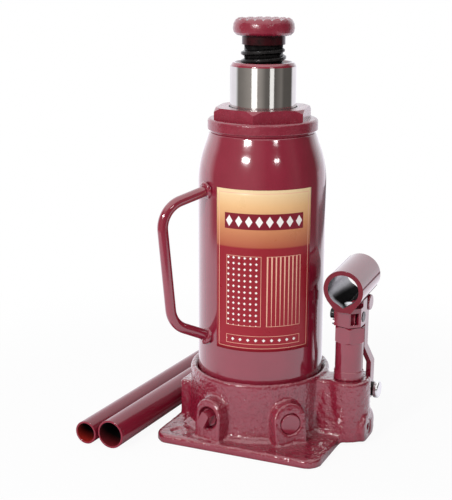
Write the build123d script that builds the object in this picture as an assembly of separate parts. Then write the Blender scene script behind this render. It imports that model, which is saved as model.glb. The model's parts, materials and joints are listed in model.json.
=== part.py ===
from build123d import *
import math
import os

# A hydraulic bottle jack with its two loose handle tubes, in millimetres.
# The origin lies on the floor under the ram's axis. +X points to the hand pump, -Y to the front.

# Base casting
plate_left = -61.4
plate_right = 73.6
plate_half_depth = 70.0
plate_corner_r = 12.0
plate_edge = 7.0
plate_edge_fillet = 2.5
plate_crown = 8.2
plate_inset = 8.0
plate_rise = 20.0
pocket_corners = [(-52.4, -59.8), (-47.8, -48.9), (-35.9, -63.7)]
pocket_floor = 5.6
stud = (-46.0, -36.0)
stud_r = 3.8
skirt_r = 60.2
skirt_edge = 9.6
skirt_shoulder_r = 57.0
skirt_top = 20.0
cup_r = 55.3
cup_top = 52.5
cup_rim_fillet = 2.7
tank_seat_z = 40.0
cylinder_seat_z = 34.5
lug_end = -58.5
lug_half_width = 27.0
lug_top = 37.0
boss_face = 66.0
boss_root = 42.0
boss_waste = 60.0
release_boss = {"half_width": 11.8, "arch_z": 26.5, "draft": 5.0, "lean": 4.0, "foot": 67.0}
relief_boss = {"half_width": 12.7, "arch_z": 26.0, "draft": 3.5, "lean": 9.0, "foot": 68.2}
release_angle = -106.0
release_z = 24.0
release_hole_r = 8.4
relief_angle = -46.5
relief_z = 23.2
relief_plug_r = 7.8

# Tank, pressure cylinder and top nut
tank_r = 49.2
tank_wall = 3.2
tank_shoulder_z = 198.0
tank_shoulder_r = 85.0
tank_shoulder_turn = 20.7
tank_flare_r = 89.6
tank_top = 238.0
tank_neck_fillet = 2.0
cylinder_r = 36.0
cylinder_bore_r = 30.0
cylinder_top = 247.5
gasket_thick = 1.5
nut_flange_r = 42.0
nut_flange_top = 248.0
nut_flange_fillet = 2.4
nut_gasket_r = 40.0
nut_hex_r = 39.0
nut_hex_turn = -18.8
nut_top = 256.6
gland_seal = (249.0, 253.0)
gland_seal_r = 28.6
wiper_low = 254.4
wiper_r = 26.2
label_from = -110.7
label_sweep = 90.0
label_low = 77.0
label_high = 201.0
label_thick = 0.25
filler_angle = 100.0
filler_z = 188.0
filler_hole_r = 5.0
weld_r = 6.8
weld_length = 8.0

# Ram and extension screw, drawn raised and unscrewed as they stand in the photo
ram_r = 25.0
ram_top = 290.0
ram_foot = 60.0
ram_shoulder = 88.0
ram_bore_foot = 173.5
spigot_r = 14.0
piston_low = 76.0
cup_seal_low = 66.0
screw_r = 17.0
screw_root_r = 14.6
screw_pitch = 6.0
screw_foot = 200.0
screw_top = 303.0
screw_tail = 6.0
saddle_stud_r = 10.0
saddle_neck_r = 16.3
saddle_r = 23.2
saddle_low = 310.0
saddle_top = 322.4
saddle_groove_pitch = 6.2
saddle_groove_width = 2.2
saddle_groove_turn = 12.0

# Carry handle, in the upright plane through the ram's axis: distance from the axis, height
carry_angle = -125.0
carry_rod_r = 4.1
carry_bend_r = 20.0
carry_route = [(46.0, 197.6), (88.7, 186.4), (79.9, 96.2), (46.0, 80.8)]

# Hand pump, on an upright axis beside the tank
pump_x = 74.0
housing_r = 17.5
housing_top = 50.5
housing_foot = 2.0
housing_web = (38.0, 30.5)
housing_web_y = -3.25
housing_web_draft = 5.0
housing_flat_low = 24.0
housing_lug_back = 7.0
suction_boss_r = 14.5
suction_boss_reach = 18.0
pump_bore_foot = 28.5
pump_thread_r = 10.0
pump_barrel_r = 10.8
pump_flange_r = 11.4
pump_flange_top = 57.5
pump_hex_low = 80.0
pump_top = 93.0
pump_hex_flats = 22.0
pump_hex_turn = -73.0
pump_hex_chamfer = 1.5
gland_r = 8.5
packing = (82.0, 88.0)
plunger_r = 6.0
plunger_foot = 24.0
plunger_eye_r = 7.5

# Oil ways and valves
gallery_r = 2.2
port_r = 2.5
suction_x = 42.0
suction_z = 12.0
suction_r = 3.0
suction_plug_r = 5.5
suction_plug_face = 17.0
suction_plug_length = 6.0
inlet_seat_z = 16.0
inlet_chamber_r = 5.0
inlet_ball_r = 3.5
delivery_port = (20.0, -12.0)
delivery_z = 25.0
outlet_seat_z = 27.0
outlet_chamber_r = 4.5
outlet_ball_r = 3.4
valve_seat = 36.0
valve_ball_r = 2.8
return_port = 43.0
release_r = 5.0
release_groove = (55.0, 57.6)
release_groove_r = 3.4
release_collar = (60.3, 63.0)
tang_length = 8.0
tang_width = 13.0
tang_thick = 7.0
tang_turn = 28.0
relief_r = 4.5
disc_springs = 4
disc_spring_pitch = 2.3
disc_spring_near = 5.2
relief_screw_span = (14.6, 19.4)
relief_plug_span = (57.0, 64.5)

# Pump lever: plunger pin, lever pin and link bolt as (Y, Z), all along X
plunger_pin = (0.0, 100.5)
lever_pin = (18.5, 107.0)
link_bolt = (17.0, 37.0)
pin_r = 4.0
pin_slot = 2.0
cheek_inner = 6.6
cheek_outer = 10.5
cheek_back = 8.5
cheek_low = 93.8
nose_r = 13.6
nose_turn = -77.0
nose_top = 108.5
nose_inside = -7.9
nose_window = (1.6, 8.2)
nose_window_z = (95.8, 105.0)
socket_mouth = (-20.0, 125.0)
socket_tilt = 4.1
socket_length = 45.0
socket_r = 15.5
socket_bore_r = 12.0
keel_shoulder = (13.2, -8.6)
keel_foot = (6.0, -17.6)
seam_top = (7.4, -9.4)
seam_foot = -14.3
rivet = (76.6, -10.9)
rivet_head_r = 4.4
rivet_head_z = (111.8, 113.1)
rivet_shank_r = 1.6
rivet_shank_low = 108.0
link_thick = 4.0
link_half_width = 4.6
link_foot_r = 7.2
link_head_r = 6.5
link_upper_outer = 8.0
tongue_half = 3.7
tongue_r = 8.0
link_lower_outer = 14.0
link_joggle = (60.0, 72.0)
bolt_head = (6.8, 4.0)
bolt_washer = (5.6, 2.6)
bolt_nut = (7.4, 5.0)
lever_pin_head = (6.2, 2.7)
pin_tail = 4.5
split_pin_offset = 2.4
split_pin_r = 0.95

# Handle tubes lying on the floor
tube_mouth_y = -95.0
tube_length = 330.0
tube_turn = -3.3
outer_tube_r = 11.2
outer_tube_wall = 1.6
outer_tube_x = -85.0
inner_tube_r = 9.1
inner_tube_wall = 1.5
tube_gap = 1.2
tube_notch = (7.4, 9.0)

running_fit = 0.05
seal_fit = 0.02
seat_fit = 0.1
UPWARD = (Align.CENTER, Align.CENTER, Align.MIN)


def disc(radius, low, high, at=(0, 0)):
    return Pos(at[0], at[1], low) * Cylinder(radius, high - low, align=UPWARD)


def ring(outer, inner, low, high, at=(0, 0)):
    return disc(outer, low, high, at) - disc(inner, low, high, at)


def block(x, y, z):
    size = (x[1] - x[0], y[1] - y[0], z[1] - z[0])
    return Pos((x[0] + x[1]) / 2, (y[0] + y[1]) / 2, (z[0] + z[1]) / 2) * Box(*size)


def rod(start, end, radius):
    start = Vector(*start)
    along = Vector(*end) - start
    return Plane(origin=start, z_dir=along) * Cylinder(radius, along.length, align=UPWARD)


def cross_rod(pin, radius, x0, x1):
    return rod((pump_x + x0, pin[0], pin[1]), (pump_x + x1, pin[0], pin[1]), radius)


def outward(angle, distance, z):
    turn = math.radians(angle)
    return (distance * math.cos(turn), distance * math.sin(turn), z)


def radial_rod(angle, z, near, far, radius):
    return rod(outward(angle, near, z), outward(angle, far, z), radius)


def radial_plane(angle):
    return Plane(origin=(0, 0, 0), x_dir=outward(angle, 1, 0), z_dir=outward(angle - 90, 1, 0))


def spun(*points):
    return revolve(Plane.XZ * make_face(Polyline(*points, close=True)), Axis.Z)


def side_face(points):
    return Plane.YZ * make_face(Polyline(*points, close=True))


def seated(ball_r, hole_r):
    return math.sqrt(ball_r ** 2 - hole_r ** 2) + running_fit


# Base casting

def base_plate():
    width = plate_right - plate_left
    depth = 2 * plate_half_depth
    slab = extrude(RectangleRounded(width, depth, plate_corner_r), plate_edge)
    slab = fillet(slab.edges().group_by(Axis.Z)[-1], plate_edge_fillet)
    foot = RectangleRounded(width - plate_inset, depth - plate_inset, plate_corner_r - 3)
    shrink = plate_inset + 2 * plate_rise
    crown = RectangleRounded(width - shrink, depth - shrink, 4)
    rise = loft([Pos(0, 0, plate_edge - 0.5) * foot, Pos(0, 0, plate_crown) * crown])
    plate = Pos((plate_left + plate_right) / 2, 0, 0) * (slab + rise)
    # A three-cornered pocket and a round stud, as cast
    outline = make_face(FilletPolyline(*pocket_corners, radius=1.5, close=True))
    plate -= Pos(0, 0, pocket_floor) * extrude(outline, plate_crown)
    return plate + Pos(*stud, plate_edge - 1.2) * Sphere(stud_r)


def cup_body():
    cup = fillet(disc(cup_r, 0, cup_top).edges().group_by(Axis.Z)[-1], cup_rim_fillet)
    skirt = fillet(disc(skirt_r, 0, skirt_edge).edges().group_by(Axis.Z)[-1], 1.2)
    slope = Cone(skirt_shoulder_r, cup_r, skirt_top - skirt_edge, align=UPWARD)
    skirt += Pos(0, 0, skirt_edge) * slope
    return cup + (skirt & block((lug_end + 1, 150), (-150, 150), (0, skirt_top)))


def arched_boss(angle, half_width, arch_z, draft, lean, foot):
    inward = Vector(*outward(angle + 180, 1, 0))
    start = outward(angle, foot, 0)
    across = outward(angle - 90, 1, 0)
    outline = Rectangle(2 * half_width, arch_z, align=(Align.CENTER, Align.MIN))
    outline += Pos(0, arch_z) * Circle(half_width)
    upright = Plane(origin=start, x_dir=across, z_dir=inward)
    boss = extrude(upright * outline, foot - boss_root, taper=-draft)
    # The face leans back, as a drafted mould leaves it
    turn = math.radians(lean)
    facing = outward(angle, math.cos(turn), math.sin(turn))
    waste = Box(2 * boss_waste, 2 * boss_waste, boss_waste, align=UPWARD)
    return boss - Plane(origin=start, x_dir=across, z_dir=facing) * waste


def side_lug():
    lug = block((lug_end, -30), (-lug_half_width, lug_half_width), (0, lug_top))
    return fillet(lug.edges().filter_by(Axis.Z).group_by(Axis.X)[0], 3)


def pump_housing():
    tower = fillet(disc(housing_r, 0, housing_top, (pump_x, 0)).edges().group_by(Axis.Z)[-1], 2)
    half = link_lower_outer - link_thick - 0.3
    flat_front = link_bolt[0] - link_foot_r - 1
    lug_y = (0, link_bolt[0] + housing_lug_back)
    lug = block((pump_x - half, pump_x + half), lug_y, (0, housing_top - 2))
    for side in (-1, 1):
        near = pump_x + side * half
        far = pump_x + side * (housing_r + 1)
        flat_z = (housing_flat_low, housing_top + 1)
        tower -= block(sorted((near, far)), (flat_front, housing_r + 1), flat_z)
    web = extrude(Rectangle(*housing_web), housing_top - 0.5, taper=housing_web_draft)
    web = Pos(pump_x - housing_r, housing_web_y, 0) * web
    foot = rod((pump_x, 1, suction_z), (pump_x + suction_boss_reach, 1, suction_z), suction_boss_r)
    foot = chamfer(foot.edges().group_by(Axis.X)[-1], 1.5)
    return tower + lug + web + foot


def valve_drillings(angle, z, radius):
    cuts = radial_rod(angle, z, valve_seat, boss_face, radius)
    cuts += radial_rod(angle, z, 0, valve_seat + 1, gallery_r)
    return cuts + disc(port_r - 0.5, z, tank_seat_z + 1, outward(angle, return_port, 0)[:2])


def pump_drillings():
    axis = (pump_x, 0)
    cuts = disc(pump_thread_r + seat_fit, pump_bore_foot, housing_top + 1, axis)
    cuts += disc(plunger_r + 0.3, inlet_seat_z + 6, pump_bore_foot + 1, axis)
    cuts += disc(inlet_chamber_r, inlet_seat_z, inlet_seat_z + 7, axis)
    cuts += disc(port_r, suction_z, inlet_seat_z + 1, axis)
    # Suction from the reservoir, plugged at its outer end
    cuts += rod((suction_x, 0, suction_z), (pump_x + 11, 0, suction_z), suction_r)
    cuts += rod((pump_x + 10, 0, suction_z), (pump_x + 20, 0, suction_z), suction_plug_r)
    cuts += disc(port_r, suction_z, tank_seat_z + 1, (suction_x, 0))
    # Delivery to the pressure cylinder
    cuts += rod((pump_x, 0, delivery_z), (*delivery_port, delivery_z), gallery_r)
    cuts += disc(port_r, delivery_z, outlet_seat_z + 1, delivery_port)
    return cuts + disc(outlet_chamber_r, outlet_seat_z, cylinder_seat_z + 1, delivery_port)


def base_drillings():
    cuts = disc(tank_r + seat_fit, tank_seat_z, cup_top + 1)
    cuts += disc(cylinder_r + seat_fit, cylinder_seat_z, tank_seat_z + 1)
    cuts += Pos(0, 0, cup_top - 3.2) * Cone(tank_r + seat_fit, tank_r + 3.3, 3.3, align=UPWARD)
    cuts += disc(3, relief_z - 2, cylinder_seat_z + 1)
    cuts += valve_drillings(release_angle, release_z, release_r)
    cuts += radial_rod(release_angle, release_z, release_collar[0] - 0.3, boss_face + 4, release_hole_r)
    cuts += valve_drillings(relief_angle, relief_z, relief_r)
    cuts += radial_rod(relief_angle, relief_z, 56, boss_face + 4, relief_plug_r)
    cuts += cross_rod(link_bolt, pin_r + running_fit, -20, 20)
    return cuts + pump_drillings()


def base_casting():
    body = base_plate() + cup_body() + side_lug() + pump_housing()
    body += arched_boss(release_angle, **release_boss)
    body += arched_boss(relief_angle, **relief_boss)
    body -= block((-150, 150), (-150, 150), (-40, 0))
    body -= block((plate_right, 150), (-50, 50), (-1, housing_foot))
    body -= base_drillings()
    return body


# Tank, pressure cylinder and top nut

def tank_fill(inset):
    straight = Line((tank_r - inset, tank_seat_z + 2), (tank_r - inset, tank_shoulder_z))
    bend = JernArc(straight @ 1, (0, 1), tank_shoulder_r - inset, tank_shoulder_turn)
    # The lean at the neck is such that the second arc ends level with the tank's top
    flare_r = tank_flare_r + inset
    rise = tank_top - (bend @ 1).Y
    lean = math.degrees(math.asin(math.sin(math.radians(tank_shoulder_turn)) - rise / flare_r))
    flare = JernArc(bend @ 1, bend % 1, flare_r, lean - tank_shoulder_turn)
    closing = Polyline(flare @ 1, (0, tank_top), (0, tank_seat_z + 2), straight @ 0)
    outline = straight + bend + flare + closing
    return revolve(Plane.XZ * make_face(outline), Axis.Z)


def reservoir_tank():
    shell = tank_fill(0)
    shell = fillet(shell.edges().group_by(Axis.Z)[-1], tank_neck_fillet)
    tank = shell - tank_fill(tank_wall)
    return tank - radial_rod(filler_angle, filler_z, tank_r - 10, tank_r + 5, filler_hole_r)


def filler_plug():
    inside = tank_r - tank_wall
    stem = radial_rod(filler_angle, filler_z, inside - 2, tank_r + 1, filler_hole_r)
    lip = radial_rod(filler_angle, filler_z, inside - 2.5, inside - 0.6, filler_hole_r + 0.8)
    head = radial_rod(filler_angle, filler_z, tank_r + seat_fit, tank_r + 3.6, filler_hole_r + 3)
    return stem + lip + chamfer(head.edges().sort_by(SortBy.DISTANCE)[-1:], 1.0)


def tank_base_seal():
    return ring(tank_r, tank_r - tank_wall - 0.6, tank_seat_z, tank_seat_z + 2)


def pressure_cylinder():
    return ring(cylinder_r, cylinder_bore_r, cylinder_seat_z + gasket_thick, cylinder_top)


def cylinder_gasket():
    return ring(cylinder_r, cylinder_bore_r + 0.5, cylinder_seat_z, cylinder_seat_z + gasket_thick)


def top_nut():
    flange_low = tank_top + gasket_thick
    flange = disc(nut_flange_r, flange_low, nut_flange_top)
    flange = fillet(flange.edges().group_by(Axis.Z)[-1], nut_flange_fillet)
    flange = fillet(flange.edges().group_by(Axis.Z)[0], 0.8)
    hexagon = Pos(0, 0, nut_flange_top - 1) * extrude(
        RegularPolygon(nut_hex_r, 6, rotation=nut_hex_turn), nut_top - nut_flange_top + 1)
    dome = Pos(0, 0, nut_top - 26) * Cone(nut_hex_r + 23, nut_hex_r - 3, 26, align=UPWARD)
    nut = flange + (hexagon & dome)
    nut -= disc(cylinder_r + seat_fit, flange_low, cylinder_top)
    nut -= disc(ram_r + running_fit, cylinder_top, nut_top)
    nut -= disc(gland_seal_r, *gland_seal)
    return nut - disc(wiper_r, wiper_low, nut_top)


def top_nut_gasket():
    return ring(nut_gasket_r, cylinder_r + 0.8, tank_top, tank_top + gasket_thick)


def ram_gland_seal():
    return ring(gland_seal_r, ram_r + seal_fit, *gland_seal)


def ram_wiper():
    return ring(wiper_r, ram_r + seal_fit, wiper_low, nut_top)


def carry_handle():
    route = radial_plane(carry_angle) * FilletPolyline(*carry_route, radius=carry_bend_r)
    bar = sweep(Plane(origin=route @ 0, z_dir=route % 0) * Circle(carry_rod_r), path=route)
    return bar - disc(tank_r, carry_route[-1][1] - 20, carry_route[0][1] + 20)


def carry_handle_welds():
    plane = radial_plane(carry_angle)
    beads = []
    for end, knee in ((carry_route[0], carry_route[1]), (carry_route[-1], carry_route[-2])):
        start = plane.from_local_coords(Vector(*end, 0))
        along = plane.from_local_coords(Vector(*knee, 0)) - start
        bead = Cone(weld_r, carry_rod_r + 0.3, weld_length, align=UPWARD) - Cylinder(carry_rod_r, 30)
        bead = Plane(origin=start, z_dir=along) * bead
        beads.append(bead - disc(tank_r, end[1] - 20, end[1] + 20))
    return beads


def tank_label():
    skin = ring(tank_r + label_thick, tank_r, label_low, label_high)
    reach = 2 * tank_r
    corners = [outward(label_from + label_sweep * share, reach, 0)[:2] for share in (0, 0.5, 1)]
    wedge = extrude(make_face(Polyline((0, 0), *corners, close=True)), label_high)
    return skin & wedge


# Ram, piston and extension screw

def ram():
    outline = [(0, ram_foot), (spigot_r, ram_foot), (spigot_r, ram_shoulder), (ram_r, ram_shoulder)]
    outline += [(ram_r, ram_top - 3), (ram_r - 1.8, ram_top), (ram_r - 3, ram_top)]
    bore_r = screw_r + running_fit
    outline += [(bore_r, ram_top - 5), (bore_r, ram_bore_foot), (0, ram_bore_foot)]
    return spun(*outline)


def ram_piston():
    return ring(cylinder_bore_r - running_fit, spigot_r, piston_low, ram_shoulder)


def piston_cup_seal():
    cup = ring(cylinder_bore_r - seal_fit, spigot_r, cup_seal_low, piston_low)
    return cup - ring(cylinder_bore_r - 3.5, spigot_r + 4, cup_seal_low, piston_low - 4)


def piston_retainer():
    return ring(spigot_r + 3.6, spigot_r, ram_foot + 0.5, cup_seal_low)


def screw_stop_ring():
    return ring(screw_r - 0.2, screw_root_r - 3.5, screw_foot - 4, screw_foot - 0.4)


def extension_screw():
    crest = screw_pitch * 0.3
    flank = screw_pitch * 0.2
    tail_r = screw_root_r - 4
    tail_low = screw_foot - screw_tail
    outline = [(0, tail_low), (tail_r, tail_low), (tail_r, screw_foot)]
    low = screw_foot
    while low + screw_pitch < screw_top:
        outline += [(screw_root_r, low), (screw_r, low + flank), (screw_r, low + flank + crest)]
        outline += [(screw_root_r, low + 2 * flank + crest)]
        low += screw_pitch
    outline += [(screw_root_r, screw_top), (saddle_stud_r, screw_top)]
    outline += [(saddle_stud_r, saddle_low + 5), (0, saddle_low + 5)]
    return spun(*outline)


def saddle():
    outline = [(saddle_stud_r, screw_top), (saddle_neck_r, screw_top)]
    outline += [(saddle_neck_r, saddle_low - 1), (saddle_r - 2.6, saddle_low)]
    outline += [(saddle_r - 0.6, saddle_low + 2), (saddle_r, saddle_low + 5)]
    outline += [(saddle_r - 0.4, saddle_top - 4), (saddle_r - 2, saddle_top - 1.2)]
    outline += [(saddle_r - 4, saddle_top), (0, saddle_top)]
    outline += [(0, saddle_low + 5), (saddle_stud_r, saddle_low + 5)]
    head = spun(*outline)
    # Two sets of V grooves across the top leave a grid of flat studs, one of them on the axis
    groove = Rot(45, 0, 0) * Box(3 * saddle_r, saddle_groove_width, saddle_groove_width)
    for turn in (saddle_groove_turn, saddle_groove_turn + 90):
        for number in range(-4, 4):
            off = (number + 0.5) * saddle_groove_pitch
            head -= Rot(0, 0, turn) * Pos(0, off, saddle_top) * groove
    return head


# Hand pump

def pump_cylinder():
    axis = (pump_x, 0)
    body = disc(pump_thread_r, pump_bore_foot + gasket_thick, pump_flange_top, axis)
    body += disc(pump_barrel_r, pump_flange_top - 1, pump_hex_low + 1, axis)
    flange = disc(pump_flange_r, housing_top + 2, pump_flange_top, axis)
    body += chamfer(flange.edges().group_by(Axis.Z)[-1], 0.8)
    corner = pump_hex_flats / math.sqrt(3)
    hexagon = extrude(RegularPolygon(corner, 6, rotation=pump_hex_turn), pump_top - pump_hex_low)
    turned = chamfer(disc(corner, pump_hex_low, pump_top, axis).edges(), pump_hex_chamfer)
    body += (Pos(pump_x, 0, pump_hex_low) * hexagon) & turned
    body -= disc(plunger_r + running_fit, 0, pump_top, axis)
    return body - disc(gland_r, packing[0], pump_top, axis)


def pump_flange_washer():
    return ring(pump_flange_r + 0.2, pump_thread_r + 0.1, housing_top, housing_top + 2, (pump_x, 0))


def pump_seat_washer():
    top = pump_bore_foot + gasket_thick
    return ring(pump_thread_r, plunger_r + 0.3, pump_bore_foot, top, (pump_x, 0))


def plunger_packing():
    return ring(gland_r, plunger_r + seal_fit, *packing, (pump_x, 0))


def plunger_gland():
    return ring(gland_r, plunger_r + seat_fit, packing[1], pump_top, (pump_x, 0))


def pump_plunger():
    y, z = plunger_pin
    rod_body = disc(plunger_r, plunger_foot, z, (pump_x, 0))
    half = cheek_inner - 0.5
    eye = plunger_eye_r
    head = block((pump_x - half, pump_x + half), (y - eye, y + eye), (pump_top + 0.6, z))
    head += cross_rod(plunger_pin, eye, -half, half)
    # The pin swings on an arc, so it works in a short level slot
    half_slot = pin_r + 0.3
    slot = cross_rod(plunger_pin, half_slot, -20, 20)
    slot += cross_rod((y - pin_slot, z), half_slot, -20, 20)
    slot += block((pump_x - 20, pump_x + 20), (y - pin_slot, y), (z - half_slot, z + half_slot))
    return rod_body + head - slot


def inlet_ball():
    return Pos(pump_x, 0, inlet_seat_z + seated(inlet_ball_r, port_r)) * Sphere(inlet_ball_r)


def outlet_ball():
    return Pos(*delivery_port, outlet_seat_z + seated(outlet_ball_r, port_r)) * Sphere(outlet_ball_r)


def outlet_cage():
    return ring(outlet_chamber_r, 1.5, cylinder_seat_z - 1.5, cylinder_seat_z, delivery_port)


def side_plug():
    face = pump_x + suction_plug_face
    plug = rod((face - suction_plug_length, 0, suction_z), (face, 0, suction_z), suction_plug_r)
    key = Plane(origin=(face, 0, suction_z), z_dir=(-1, 0, 0)) * extrude(RegularPolygon(2.9, 6), 3)
    return plug - key


# Release valve and overload valve

def release_rod(near, far, radius):
    return radial_rod(release_angle, release_z, near, far, radius)


def release_spindle():
    low, high = release_groove
    spindle = release_rod(valve_seat + 5, release_collar[0] + 0.1, release_r - running_fit)
    spindle -= release_rod(low, high, release_r + 0.2) - release_rod(low, high, release_groove_r)
    spindle += release_rod(*release_collar, release_r + 1.6)
    face = outward(release_angle, release_collar[1] - 0.1, release_z)
    turn = math.radians(tang_turn)
    broad = outward(release_angle + 90, math.sin(turn), math.cos(turn))
    tang = Plane(origin=face, z_dir=outward(release_angle, 1, 0), x_dir=broad)
    blade = Cylinder(tang_width / 2, tang_length, align=UPWARD)
    blade &= Box(tang_width + 1, tang_thick, tang_length, align=UPWARD)
    return spindle + tang * blade


def release_o_ring():
    low, high = release_groove[0] + seat_fit, release_groove[1] - seat_fit
    hole = release_rod(low, high, release_groove_r + running_fit)
    return release_rod(low, high, release_r - seal_fit) - hole


def valve_ball(angle, z):
    return Pos(*outward(angle, valve_seat + seated(valve_ball_r, gallery_r), z)) * Sphere(valve_ball_r)


def relief_rod(near, far, radius):
    return radial_rod(relief_angle, relief_z, near, far, radius)


def relief_disc_springs():
    springs = []
    height = 2.0
    for number in range(disc_springs):
        outline = [(1.4, 0), (2.3, 0), (4.2, 1.2), (4.2, height), (3.3, height), (1.4, 0.8)]
        if number % 2:
            outline = [(r, height - s) for r, s in outline]
        start = valve_seat + disc_spring_near + disc_spring_pitch * number
        near = outward(relief_angle, start, relief_z)
        springs.append(Plane(origin=near, z_dir=outward(relief_angle, 1, 0)) * spun(*outline))
    return springs


def relief_screw():
    near, far = (valve_seat + step for step in relief_screw_span)
    slot = Plane(origin=outward(relief_angle, far, relief_z), z_dir=outward(relief_angle + 180, 1, 0))
    return relief_rod(near, far, relief_r) - slot * Box(1.4, 12, 1.8, align=UPWARD)


def relief_plug():
    plug = relief_rod(*relief_plug_span, relief_plug_r)
    return chamfer(plug.edges().sort_by(SortBy.DISTANCE)[-1:], 0.5)


# Pump lever, its links and pins

def link_bar(side):
    low, high = link_joggle
    z0, z1 = link_bolt[1] - 9, lever_pin[1] + 9
    outer = [(link_lower_outer, z0), (link_lower_outer, low)]
    outer += [(link_upper_outer, high), (link_upper_outer, z1)]
    outline = outer + [(x - link_thick, z) for x, z in reversed(outer)]
    outline = [(pump_x + side * x, z) for x, z in outline]
    bent = Plane.XZ * make_face(Polyline(*outline, close=True))
    bent = extrude(bent, 60, both=True)
    (ya, za), (yb, zb) = link_bolt, lever_pin
    w = link_half_width
    face = side_face([(ya - w, za), (ya + w, za), (yb + w, zb), (yb - w, zb)])
    face += Plane.YZ * Pos(ya, za) * Circle(link_foot_r)
    face += Plane.YZ * Pos(yb, zb) * Circle(link_head_r)
    bar = bent & extrude(face, 200)
    bar -= cross_rod(link_bolt, pin_r + running_fit, -30, 30)
    return bar - cross_rod(lever_pin, pin_r + running_fit, -30, 30)


def link_bolt_piece():
    reach = link_lower_outer + bolt_washer[1]
    bolt = cross_rod(link_bolt, pin_r, -link_lower_outer - bolt_nut[1] - 0.4, reach + 1)
    head = cross_rod(link_bolt, bolt_head[0], reach, reach + bolt_head[1])
    return bolt + fillet(head.edges().group_by(Axis.X)[-1], 1.8)


def link_bolt_washer():
    radius, reach = bolt_washer
    washer = cross_rod(link_bolt, radius, link_lower_outer + 0.2, link_lower_outer + reach)
    return washer - cross_rod(link_bolt, pin_r, 0, 30)


def link_bolt_nut():
    start = (pump_x - link_lower_outer - 0.2, *link_bolt)
    radius, height = bolt_nut
    nut = Plane(origin=start, z_dir=(-1, 0, 0)) * extrude(RegularPolygon(radius, 6), height)
    return nut - cross_rod(link_bolt, pin_r, -30, 0)


def socket_axis():
    tilt = math.radians(socket_tilt)
    along = (0, math.cos(tilt), math.sin(tilt))
    return Plane(origin=(pump_x, *socket_mouth), x_dir=(1, 0, 0), z_dir=along)


def fork_nose():
    # The closed front of the fork is hexagonal, with a window in its right-hand face
    nose = extrude(RegularPolygon(nose_r, 6, rotation=nose_turn), nose_top - cheek_low)
    nose = Pos(pump_x, 0, cheek_low) * nose
    corner = (pump_x + outward(nose_turn, nose_r, 0)[0], outward(nose_turn, nose_r, 0)[1], 0)
    face = Plane(origin=corner, x_dir=outward(nose_turn + 120, 1, 0), z_dir=(0, 0, 1))
    return nose - face * block(nose_window, (-1, 4), nose_window_z)


def handle_socket():
    axis = socket_axis()
    # The rolled plate narrows below the tube into a keel, with an open seam along the bore
    (wide, high), (narrow, low) = keel_shoulder, keel_foot
    keel = make_face(Polyline((-wide, high), (-narrow, low), (narrow, low), (wide, high), close=True))
    body = extrude(axis * Rot(0, 0, 180) * (Circle(socket_r) + keel), socket_length)
    half, top = seam_top
    seam = make_face(Polyline((-half, top), (0, seam_foot), (half, top), close=True))
    y, z = lever_pin
    under = socket_mouth[1] - socket_r
    body -= block((0, 150), (cheek_back, 60), (0, under + 1.5))
    fork = (pump_x - cheek_outer, pump_x + cheek_outer)
    body += block(fork, (-1, cheek_back), (cheek_low, under + 4))
    body += fork_nose() & block(fork, (-20, 0), (cheek_low, under + 4))
    gap = (pump_x - cheek_inner, pump_x + cheek_inner)
    body -= block(gap, (nose_inside, 40), (cheek_low - 5, plunger_pin[1] + 8.4))
    # A tongue behind the fork takes the lever pin between the two link bars
    body -= cross_rod(lever_pin, link_head_r + 0.9, -20, 20)
    tongue = (pump_x - tongue_half, pump_x + tongue_half)
    body += cross_rod(lever_pin, tongue_r, -tongue_half, tongue_half)
    body += block(tongue, (y - tongue_r, y + 6), (z, z + 9))
    body -= axis * Cylinder(socket_bore_r, 3 * socket_length)
    body -= extrude(axis * Rot(0, 0, 180) * seam, socket_length)
    body -= disc(rivet_head_r + seat_fit, rivet_head_z[0], socket_mouth[1], rivet)
    body -= disc(rivet_shank_r, rivet_shank_low, rivet_head_z[1], rivet)
    body -= cross_rod(plunger_pin, pin_r, -20, 20)
    return body - cross_rod(lever_pin, pin_r, -20, 20)


def socket_rivet():
    head = disc(rivet_head_r, *rivet_head_z, rivet)
    head = chamfer(head.edges().group_by(Axis.Z)[-1], 0.4)
    return head + disc(rivet_shank_r, rivet_shank_low, rivet_head_z[0], rivet)


def plunger_pin_piece():
    pin = cross_rod(plunger_pin, pin_r, -cheek_outer - pin_tail, cheek_outer + 0.4)
    return pin - split_pin_hole(plunger_pin, cheek_outer)


def lever_pin_piece():
    shank = cross_rod(lever_pin, pin_r, -link_upper_outer - pin_tail, link_upper_outer + 1)
    radius, height = lever_pin_head
    start = link_upper_outer + 0.3
    head = cross_rod(lever_pin, radius, start, start + height)
    head = fillet(head.edges().group_by(Axis.X)[-1], 1.0)
    return shank + head - split_pin_hole(lever_pin, link_upper_outer)


def split_pin_rod(pin, face, below, above, radius):
    x = pump_x - face - split_pin_offset
    return rod((x, pin[0], pin[1] - below), (x, pin[0], pin[1] + above), radius)


def split_pin_hole(pin, face):
    return split_pin_rod(pin, face, 12, 12, split_pin_r + running_fit)


def split_pin(pin, face):
    stem = split_pin_rod(pin, face, 5.6, 6.5, split_pin_r)
    eye = Plane(origin=(pump_x - face - split_pin_offset, pin[0], pin[1] - 7), z_dir=(1, 0, 0))
    return stem + eye * (Cylinder(2.1, 1.5) - Cylinder(0.9, 1.5))


# Handle tubes

def floor_tube(x, radius, wall, notched):
    tube = ring(radius, radius - wall, 0, tube_length)
    if notched:
        width, depth = tube_notch
        tube -= Pos(0, 0, tube_length - depth) * Box(3 * radius, width, 2 * depth, align=UPWARD)
    lying = Plane(origin=(x, tube_mouth_y, radius), z_dir=(0, 1, 0), x_dir=(1, 0, 0))
    turned = Pos(x, tube_mouth_y, 0) * Rot(0, 0, tube_turn) * Pos(-x, -tube_mouth_y, 0)
    return turned * (lying * tube)


def handle_tube_outer():
    return floor_tube(outer_tube_x, outer_tube_r, outer_tube_wall, False)


def handle_tube_inner():
    x = outer_tube_x - outer_tube_r - inner_tube_r - tube_gap
    return floor_tube(x, inner_tube_r, inner_tube_wall, True)


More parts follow.
